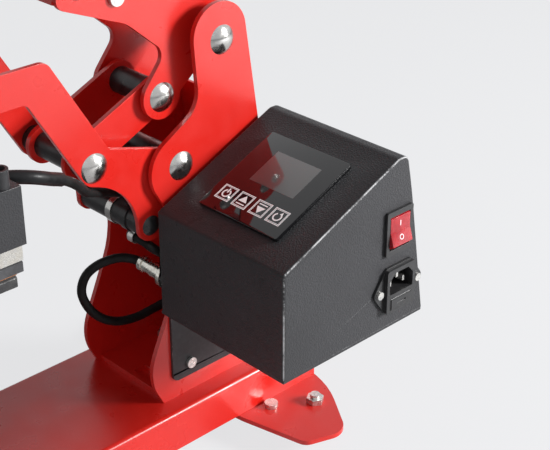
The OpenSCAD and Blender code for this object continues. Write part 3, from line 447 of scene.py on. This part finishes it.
sleeve_black = Finish("satin black tube", (0.014, 0.014, 0.015), 0.33, Specular_IOR_Level=0.4)
sleeve_black.tint(sleeve_black.between(sleeve_black.noise(160, 4), 0.5, 0.75, 0, 0.6), (0.035, 0.035, 0.037))
sleeve_black.edge_tint((0.25, 0.25, 0.25), 0.15)
sleeve_black.gloss(sleeve_black.between(sleeve_black.noise(90, 3), 0.3, 0.7, 0.26, 0.46))
sleeve_black.relief(sleeve_black.noise(800, 2), 0.12, 0.0002)
for node in ("pivot_spacers", "arm_sleeves", "cross_sleeves", "lever_spacers", "link_sleeves"):
    made(node, 0.0004, sleeve_black)

# The heads of the lowest pair are chrome like the others, but get the satin black finish as painted shade,
# for the box's shadow that they lie in.
made("arm_pins", 0.0002, chrome, sleeve_black, lambda middle: middle.z < at(0, 0, 225).z)

# Arm, levers and links. Each is a pair of flat steel plates with the red coat of the frame, held
# at its distance by the sleeves and turning on the pins.
for node in ("right_arm", "left_arm", "right_lever", "left_lever", "right_link", "left_link"):
    made(node, 0.0006, red_coat)

# Pressure screw. A steel screw with a moulded black knob stands in a block, which bolts hold
# between the front ends of the arm's plates.
made("screw_block", 0.0006, sleeve_black)
made("block_bolts", 0.0004, zinc_plate)
screw_steel = Finish("screw steel", (0.55, 0.55, 0.56), 0.3, Metallic=0.95)
screw_steel.tint(screw_steel.between(screw_steel.noise(300, 3), 0.4, 0.7), (0.4, 0.39, 0.37))
screw_steel.gloss(screw_steel.between(screw_steel.noise(400, 3), 0.3, 0.7, 0.22, 0.42))
screw_steel.relief(screw_steel.noise(900, 2), 0.2, 0.0002)
made("pressure_screw", 0.0003, screw_steel)
knob_plastic = Finish("knob plastic", (0.022, 0.022, 0.023), 0.4)
knob_plastic.tint(knob_plastic.between(knob_plastic.noise(200, 3), 0.45, 0.7, 0, 0.5), (0.04, 0.04, 0.041))
knob_plastic.relief(knob_plastic.noise(1200, 2), 0.2, 0.00015)
made("pressure_knob", 0.0012, knob_plastic, steps=3)

# Handle. A black painted tube is bolted in a red socket between the levers, and a rubber grip
# with a collar and ribs is pushed on its end.
made("handle_socket", 0.0006, red_coat)
made("handle_bolts", 0.0003, zinc_plate)
made("handle_tube", 0.0006, sleeve_black)
grip_rubber = Finish("grip rubber", (0.018, 0.018, 0.018), 0.66)
grip_rubber.tint(grip_rubber.between(grip_rubber.noise(160, 4), 0.45, 0.7), (0.035, 0.035, 0.035))
grip_rubber.relief(grip_rubber.noise(1100, 3), 0.25, 0.0002)


def turned(name, profile, place, finish):
    """A turned piece: its outline, drawn by extruding one corner, spun round Z and laid in place."""
    bpy.ops.object.select_all(action="DESELECT")
    bpy.ops.mesh.primitive_plane_add(size=0.001, location=(0, 0, 0))
    piece = pick(bpy.context.object)
    piece.name = name
    bpy.ops.object.mode_set(mode="EDIT")
    bpy.ops.mesh.select_mode(type="VERT")
    bpy.ops.mesh.select_all(action="SELECT")
    bpy.ops.mesh.merge(type="CENTER")
    bpy.ops.transform.translate(value=(profile[0][0], 0, profile[0][1]))
    for last, point in zip(profile, profile[1:]):
        bpy.ops.mesh.extrude_vertices_move(
            TRANSFORM_OT_translate={"value": (point[0] - last[0], 0, point[1] - last[1])})
    bpy.ops.mesh.select_all(action="SELECT")
    bpy.ops.mesh.spin(steps=48, angle=math.tau, center=(0, 0, 0), axis=(0, 0, 1))
    bpy.ops.mesh.select_all(action="SELECT")
    bpy.ops.mesh.remove_doubles(threshold=0.000002)
    bpy.ops.mesh.normals_make_consistent(inside=False)
    bpy.ops.object.mode_set(mode="OBJECT")
    bpy.ops.object.shade_smooth_by_angle(angle=math.radians(50))
    piece.data.transform(place)
    return finished(piece, finish)


rise = math.radians(22)
handle_way = Vector((0, -math.cos(rise), math.sin(rise)))
handle_place = Matrix.Translation(at(0, 15, 364.2)) @ handle_way.to_track_quat("Z", "Y").to_matrix().to_4x4()
end = 0.254
grip_length = 0.112
rib_pitch = 0.0041
foot = end - grip_length
grip = [(0.0126, foot), (0.0182, foot), (0.0190, foot + 0.0008), (0.0190, foot + 0.0042),
        (0.0182, foot + 0.005)]
for rib in range(24):
    low = foot + 0.0065 + rib * rib_pitch
    grip += [(0.0151, low), (0.0154, low + 0.0006), (0.0160, low + 0.0012), (0.0160, low + 0.0027),
             (0.0154, low + 0.0034)]
grip += [(0.0158, end - 0.006), (0.0148, end - 0.0035), (0.0126, end - 0.0012), (0.0105, end - 0.0002),
         (0, end)]
handle_grip = turned("ribbed_grip", grip, handle_place, grip_rubber)
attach(handle_grip, "lever")
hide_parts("handle_grip")

# Platen: folded cover, wool, clamp sheet, heater mat and curved aluminium shoe, hung from a
# channel under the screw.
hammered = Finish("hammered black coat", (0.05, 0.05, 0.053), 0.36, Specular_IOR_Level=0.12)
hammered.tint(hammered.between(hammered.noise(25, 3), 0.4, 0.7, 0, 0.5), (0.042, 0.042, 0.044))
# Its pale edge tint is partly rubbed paint and partly a painted highlight: the bright glinting line along
# the rounded edges and ridge of the box.
hammered.edge_tint((0.72, 0.72, 0.73), 0.6)
hammered.gloss(hammered.between(hammered.noise(120, 3), 0.3, 0.7, 0.26, 0.42))
hammered.relief(hammered.cells(850), 0.62, 0.0004)
hammered.relief(hammered.noise(1500, 2), 0.25, 0.0002)
made("platen_cover", 0.0005, hammered)
made("platen_hanger", 0.0006, black_coat)

wool = Finish("ceramic wool", (0.48, 0.47, 0.45), 0.95, Specular_IOR_Level=0.1)
wool.tint(wool.between(wool.noise(180, 5), 0.4, 0.7), (0.46, 0.44, 0.4))
wool.relief(wool.noise(700, 5, 0.7, place=wool.stretched((0.3, 0.3, 1.6))), 0.8, 0.0008)
made("insulation", 0.0012, wool, steps=2)

dark_sheet = Finish("dark sheet", (0.06, 0.06, 0.063), 0.5, Metallic=0.1, Specular_IOR_Level=0.3)
dark_sheet.tint(dark_sheet.between(dark_sheet.noise(90, 4), 0.4, 0.7), (0.085, 0.085, 0.09))
dark_sheet.edge_tint((0.5, 0.5, 0.5), 0.3)
dark_sheet.relief(dark_sheet.noise(700, 2), 0.2, 0.0002)
made("clamp_plate", 0.0004, dark_sheet)

heater_mat = Finish("heater mat", (0.42, 0.17, 0.06), 0.6)
heater_mat.tint(heater_mat.between(heater_mat.cells(500), 0.3, 0.7), (0.3, 0.11, 0.04))
heater_mat.relief(heater_mat.cells(500), 0.4, 0.0003)
made("heating_element", 0.0003, heater_mat)

shoe_coat = Finish("non-stick coat", (0.035, 0.035, 0.037), 0.4, Specular_IOR_Level=0.3)
shoe_coat.tint(shoe_coat.between(shoe_coat.noise(40, 4), 0.4, 0.7), (0.075, 0.074, 0.072))
shoe_coat.edge_tint((0.6, 0.6, 0.6), 0.3)
shoe_coat.relief(shoe_coat.noise(1000, 2), 0.2, 0.00015)
made("heat_platen", 0.0006, shoe_coat)
made("collars", 0.0004, black_coat)
made("platen_screws", 0.0003, zinc_plate)
ceramic = Finish("ceramic", (0.74, 0.71, 0.64), 0.5)
ceramic.tint(ceramic.between(ceramic.noise(300, 3), 0.4, 0.7), (0.66, 0.62, 0.55))
ceramic.relief(ceramic.noise(900, 2), 0.2, 0.0002)
made("thermal_cutout", 0.0003, ceramic)

# Control box. A hood of 1.5 mm sheet, bent round its front, slope and ridge and folded at its
# sides, sits on a bottom plate, and a bracket and four screws hold it to the right upright.
box_left, box_right, box_bottom_z, front_top, ridge_z = 46, 175, 135, 219.4, 267.8
slope_angle = math.radians(23.69)
made("box_bracket", 0.0005, black_coat)


def box_bend(middle):
    """Whether an edge of the hood is one of its side folds, and not a cut-out or its lower rim."""
    x, y, z = (middle - at(0, 0, 0)) * 1000
    inside = 6 < y < 136 and z < min(front_top + y * math.tan(slope_angle), ridge_z) - 6
    at_side = abs(x - box_left) < 0.05 or abs(x - box_right) < 0.05
    return at_side and z > box_bottom_z + 1.5 and not inside


made("box_shell", 0.0004, hammered, fold=box_bend)
made("box_bottom", 0.0004, black_coat)
made("box_screws", 0.0003, zinc_plate)

# Control board. The green circuit board of the display and keys is held inside the hood, under
# the glass panel.
board_green = Finish("circuit board", (0.02, 0.13, 0.05), 0.4)
board_green.tint(board_green.between(board_green.cells(300), 0.2, 0.26), (0.05, 0.2, 0.09))
board_green.relief(board_green.cells(300), 0.3, 0.0002)
made("control_board", 0.0003, board_green)

# Glass panel. A black glass plate of 3 mm lies on the slope, with a grey display window and four
# touch keys printed on it: power, up, down and back.
panel_glass = Finish("black glass", (0.006, 0.006, 0.007), 0.06, Coat_Weight=0.3, Coat_Roughness=0.03)
panel_glass.gloss(panel_glass.between(panel_glass.noise(30, 4), 0.4, 0.8, 0.05, 0.12))


def slab(name, wide, tall, thick, corner, edge, finish):
    """A flat plate on Z = 0 with rounded corners and a broken edge."""
    bpy.ops.object.select_all(action="DESELECT")
    bpy.ops.mesh.primitive_cube_add(size=1, location=(0, 0, 0))
    piece = pick(bpy.context.object)
    piece.name = name
    bpy.ops.object.mode_set(mode="EDIT")
    bpy.ops.mesh.select_all(action="SELECT")
    bpy.ops.transform.resize(value=(wide, tall, thick), center_override=(0, 0, 0))
    bpy.ops.transform.translate(value=(0, 0, thick / 2))
    bpy.ops.mesh.select_all(action="DESELECT")
    shape = bmesh.from_edit_mesh(piece.data)
    for side in shape.edges:
        side.select_set(abs(side.verts[0].co.z - side.verts[1].co.z) > thick / 2)
    bmesh.update_edit_mesh(piece.data)
    bpy.ops.mesh.bevel(offset=corner, segments=5, affect="EDGES")
    bpy.ops.mesh.select_all(action="DESELECT")
    bpy.ops.mesh.edges_select_sharp(sharpness=math.radians(60))
    bpy.ops.mesh.bevel(offset=edge, segments=2, affect="EDGES")
    bpy.ops.object.mode_set(mode="OBJECT")
    bpy.ops.object.shade_smooth_by_angle(angle=math.radians(30))
    return finished(piece, finish)


def mark(sides, wide, tall, x, y, line=0.0, turn=0.0, gap=0.0):
    """A printed mark on Z = 0: a filled outline, or only its line, which a gap may open at the top."""
    bpy.ops.object.select_all(action="DESELECT")
    bpy.ops.mesh.primitive_circle_add(vertices=sides, radius=0.7071 if sides == 4 else 0.5, fill_type="NGON")
    piece = pick(bpy.context.object)
    bpy.ops.object.mode_set(mode="EDIT")
    bpy.ops.mesh.select_mode(type="FACE")
    bpy.ops.mesh.select_all(action="SELECT")
    bpy.ops.transform.rotate(value=turn, orient_axis="Z", center_override=(0, 0, 0))
    bpy.ops.transform.resize(value=(wide, tall, 1), center_override=(0, 0, 0))
    if line:
        bpy.ops.mesh.inset(thickness=line)
        bpy.ops.mesh.delete(type="FACE")
        shape = bmesh.from_edit_mesh(piece.data)
        for face in shape.faces:
            middle = face.calc_center_median()
            face.select_set(abs(math.atan2(middle.x, middle.y)) < gap)
        bmesh.update_edit_mesh(piece.data)
        bpy.ops.mesh.delete(type="FACE")
    bpy.ops.mesh.select_all(action="SELECT")
    bpy.ops.transform.translate(value=(x, y, 0))
    bpy.ops.object.mode_set(mode="OBJECT")
    return piece


def printed(name, marks, place, finish, thick=0.00006):
    """Joins marks to one print of that thickness and lays it in its place."""
    piece = pick(*marks)
    if len(marks) > 1:
        bpy.ops.object.join()
    piece.name = name
    bpy.ops.object.mode_set(mode="EDIT")
    bpy.ops.mesh.select_all(action="SELECT")
    bpy.ops.mesh.extrude_region_move(TRANSFORM_OT_translate={"value": (0, 0, thick)})
    bpy.ops.mesh.select_all(action="SELECT")
    bpy.ops.mesh.normals_make_consistent(inside=False)
    bpy.ops.object.mode_set(mode="OBJECT")
    piece.data.transform(place)
    return finished(piece, finish)


slope = Matrix.Translation(at(0, 0, front_top)) @ Matrix.Rotation(slope_angle, 4, "X")


def on_slope(x, up, out):
    """A place on the slope: across it, up along it and out of it, in millimetres."""
    return slope @ Matrix.Translation(Vector((x, up, out)) / 1000)


glass_x, glass_top = 110.25, 3.02
glass = slab("panel_glass_plate", 0.078, 0.079, 0.003, 0.0018, 0.00035, panel_glass)
glass.data.transform(on_slope(glass_x, 59.5, 0.02))
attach(glass, "frame")
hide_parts("control_glass")

display_grey = Finish("display", (0.135, 0.138, 0.137), 0.12, Coat_Weight=0.4, Coat_Roughness=0.04)
display_grey.tint(display_grey.between(display_grey.noise(40, 2), 0.35, 0.75, 0, 0.4), (0.12, 0.124, 0.122))
display = slab("display_window", 0.0433, 0.0309, 0.00005, 0.0004, 0.00001, display_grey)
display.data.transform(on_slope(112, 69.65, glass_top))
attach(display, "frame")

# The white print glows a little: painted light that makes it brighter than the lamps alone light it.
glowing_white_ink = Finish("white print with painted glow", (0.84, 0.84, 0.85), 0.45, Emission_Color=(1, 1, 1, 1),
                   Emission_Strength=0.28)
glowing_white_ink.tint(glowing_white_ink.between(glowing_white_ink.noise(900, 3), 0.45, 0.75, 0, 0.5), (0.7, 0.7, 0.71))
key_xs = (-0.0254, -0.0086, 0.0086, 0.0254)
square = math.radians(45)
key_marks = []
for key_x in key_xs:
    key_marks.append(mark(4, 0.0136, 0.0134, key_x, 0, line=0.0006, turn=square))
    key_marks.append(mark(4, 0.0116, 0.0114, key_x, 0, line=0.0004, turn=square))
key_marks += [
    mark(32, 0.0074, 0.0074, key_xs[0], -0.0004, line=0.0011, gap=math.radians(28)),
    mark(4, 0.0011, 0.0040, key_xs[0], 0.0024, turn=square),
    mark(3, 0.0090, 0.0076, key_xs[1], 0.0006),
    mark(4, 0.0078, 0.0009, key_xs[1], -0.0036, turn=square),
    mark(3, 0.0090, 0.0076, key_xs[2], -0.0006, turn=math.pi),
    mark(4, 0.0078, 0.0009, key_xs[2], 0.0036, turn=square),
    mark(32, 0.0074, 0.0074, key_xs[3], -0.0002, line=0.0011, gap=math.radians(32)),
    mark(3, 0.0032, 0.0034, key_xs[3] + 0.0016, 0.0030, turn=math.radians(-110)),
]
key_print = printed("key_print", key_marks, on_slope(glass_x, 36.5, glass_top), glowing_white_ink)
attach(key_print, "frame")

# Mains inlet. The moulded black inlet is held in the box's right side by two plated screws, and
# has three plated blades.
inlet_y, inlet_z = 112.35, 168
socket_plastic = Finish("moulded black plastic", (0.02, 0.02, 0.021), 0.38)
socket_patches = socket_plastic.between(socket_plastic.noise(250, 3), 0.45, 0.7, 0, 0.5)
socket_plastic.tint(socket_patches, (0.035, 0.035, 0.036))
socket_plastic.relief(socket_plastic.noise(1300, 2), 0.15, 0.00012)


def inlet_metal(middle):
    """Whether a face of the inlet belongs to one of its two screws or three blades."""
    out, along, up = (middle - at(box_right, inlet_y, inlet_z)) * 1000
    screw = out > 2.15 and math.hypot(abs(along) - 20, up) < 3.05
    blades = ((-7, 3.4), (7, 3.4), (0, 8.8))
    return screw or any(abs(along - y) < 1.05 and abs(up - z) < 2.05 for y, z in blades)


made("power_inlet", 0.0004, socket_plastic, zinc_plate, inlet_metal)

# Rocker switch. A rocker of clear red plastic tilts in its black housing, pressed in at the top,
# with the usual marks for on and off printed in white.
made("rocker_switch", 0.0004, socket_plastic)
rocker_red = Finish("red clear plastic", (0.4, 0.014, 0.022), 0.22, Subsurface_Weight=0.3,
                    Subsurface_Scale=0.004)
rocker_red.tint(rocker_red.between(rocker_red.noise(200, 3), 0.4, 0.7), (0.32, 0.008, 0.014))
rocker = made("rocker", 0.0006, rocker_red, steps=3)
rocker_pivot = Matrix.Translation(at(170, 111, 213.2)) @ Matrix.Rotation(math.radians(-9), 4, "Y")
# The crease between its two faces is shallow, so its corners are brought forward
crease_rise = Vector((0.0013, 0, 0))
for vert in rocker.data.vertices:
    spot = rocker_pivot.inverted() @ vert.co
    if abs(spot.z) < 0.0012 and spot.x > 0.005:
        vert.co += rocker_pivot.to_3x3() @ crease_rise
pick(rocker)
bpy.ops.mesh.customdata_custom_splitnormals_clear()
bpy.ops.object.shade_smooth_by_angle(angle=math.radians(40))
# Each face leans 8 degrees and has its middle 5.3 mm from the pivot, up or down
for name, marks, side in (
    ("on_mark", [mark(4, 0.0006, 0.0042, 0, 0, turn=square)], 1),
    ("off_mark", [mark(28, 0.0040, 0.0040, 0, 0, line=0.00045)], -1),
):
    face = Matrix(((0, 0.14 * side, 0.99, 0.00868), (1, 0, 0, 0), (0, 0.99, -0.14 * side, 0.0053 * side),
                   (0, 0, 0, 1)))
    # The marks use the same white print, whose glow is painted light.
    sign = printed(name, marks, rocker_pivot @ face, glowing_white_ink)
    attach(sign, "rocker")

# Fuse drawer. The small drawer of the inlet's black plastic holds the fuse and pulls out of the
# inlet.
made("fuse_drawer", 0.0003, socket_plastic)

# Connector and clip of the heater cable. The nickel-plated connector is screwed in the box's left
# side. The clip's black strap goes round the cross tube, and its plated loop holds the cable.
nickel = Finish("nickel plate", (0.68, 0.66, 0.6), 0.22, Metallic=1.0)
nickel.tint(nickel.between(nickel.noise(300, 3), 0.4, 0.75), (0.52, 0.5, 0.45))
nickel.gloss(nickel.between(nickel.noise(600, 3), 0.3, 0.7, 0.15, 0.34))
made("cable_connector", 0.0003, nickel)
made("cable_clip", 0.0003, zinc_plate, sleeve_black, lambda middle: middle.z > at(0, 0, 193.2).z)
